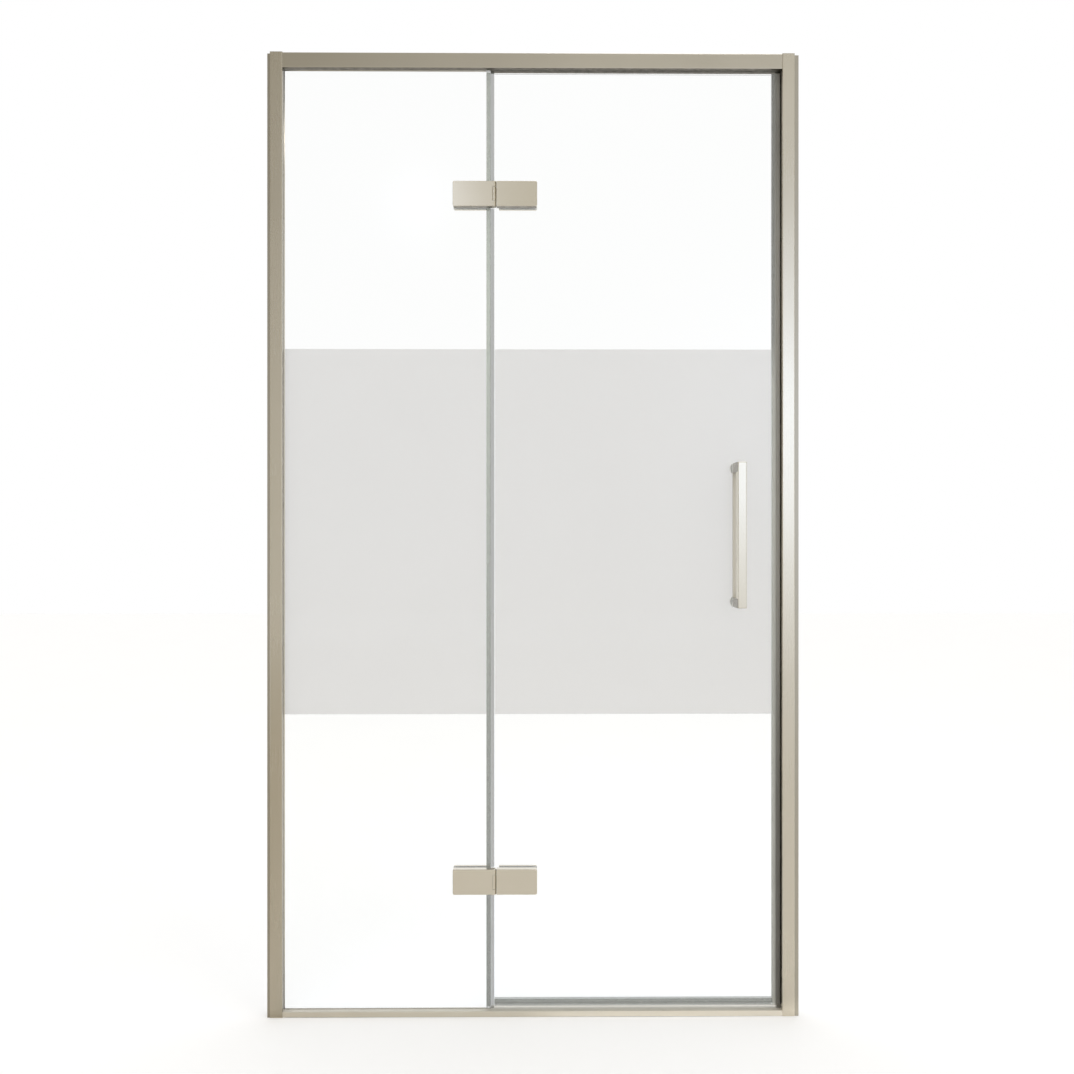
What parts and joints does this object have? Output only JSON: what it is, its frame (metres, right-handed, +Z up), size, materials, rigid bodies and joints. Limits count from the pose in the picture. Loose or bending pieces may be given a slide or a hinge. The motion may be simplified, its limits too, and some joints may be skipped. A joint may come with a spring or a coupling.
{
  "type": "hinged shower door",
  "caption": "Framed shower front with a fixed glass panel and a glass door swinging on glass-to-glass hinges, with a pull handle, magnet seal and satin privacy band.",
  "frame": {"origin": "on the tray under the sill, half way between the walls, in the middle of the glass thickness", "axes": "+X to the right seen from outside, +Y into the shower, +Z up"},
  "size_m": [1.008, 0.064, 1.829],
  "materials": {
    "satin_nickel": "satin anodised nickel",
    "clear_glass": "clear toughened",
    "satin_film": "translucent satin",
    "seal_vinyl": "translucent grey",
    "gasket_rubber": "matt",
    "nylon": "matt moulded",
    "steel": "plain",
    "magnet": "bonded magnet strip"
  },
  "bodies": {
    "frame": {"wall_channel_left": "satin_nickel", "wall_channel_right": "satin_nickel", "jamb_left": "satin_nickel", "strike_jamb": "satin_nickel", "header_rail": "satin_nickel", "sill_rail": "satin_nickel", "jamb_caps": "nylon", "corner_screws_top": "steel", "corner_screws_bottom": "steel", "channel_fixing_screws": "steel", "sill_bedding_strip": "gasket_rubber", "header_infill": "satin_nickel", "sill_infill": "satin_nickel", "strike_magnet_holder": "seal_vinyl", "strike_magnet": "magnet", "fixed_glass": "clear_glass", "fixed_privacy_film": "satin_film", "glazing_gasket_left": "seal_vinyl", "glazing_gasket_top": "seal_vinyl", "glazing_gasket_bottom": "seal_vinyl", "setting_blocks": "gasket_rubber", "edge_seal_lower": "seal_vinyl", "edge_seal_middle": "seal_vinyl", "edge_seal_upper": "seal_vinyl", "hinge_fixed_sleeves": "nylon", "lower_hinge_fixed_leaf": "satin_nickel", "lower_hinge_pin": "steel", "lower_hinge_fixed_back_plate": "satin_nickel", "lower_hinge_fixed_gaskets": "gasket_rubber", "lower_hinge_fixed_screws": "steel", "upper_hinge_fixed_leaf": "satin_nickel", "upper_hinge_pin": "steel", "upper_hinge_fixed_back_plate": "satin_nickel", "upper_hinge_fixed_gaskets": "gasket_rubber", "upper_hinge_fixed_screws": "steel"},
    "door": {"door_glass": "clear_glass", "door_privacy_film": "satin_film", "door_sweep": "seal_vinyl", "door_magnet_seal": "seal_vinyl", "door_magnet": "magnet", "hinge_door_sleeves": "nylon", "handle_bar": "satin_nickel", "handle_base_plate": "satin_nickel", "handle_gaskets": "gasket_rubber", "handle_sleeves": "nylon", "handle_rosettes": "satin_nickel", "handle_screws": "steel", "lower_hinge_door_leaf": "satin_nickel", "lower_hinge_bushes": "nylon", "lower_hinge_door_back_plate": "satin_nickel", "lower_hinge_door_gaskets": "gasket_rubber", "lower_hinge_door_screws": "steel", "upper_hinge_door_leaf": "satin_nickel", "upper_hinge_bushes": "nylon", "upper_hinge_door_back_plate": "satin_nickel", "upper_hinge_door_gaskets": "gasket_rubber", "upper_hinge_door_screws": "steel"}
  },
  "joints": [
    {"name": "door_swing", "type": "hinge", "parent": "frame", "child": "door", "pos_m": [-0.0758, -0.0115, 0.9], "axis": [0, 0, -1], "range_deg": [0, 90]}
  ]
}
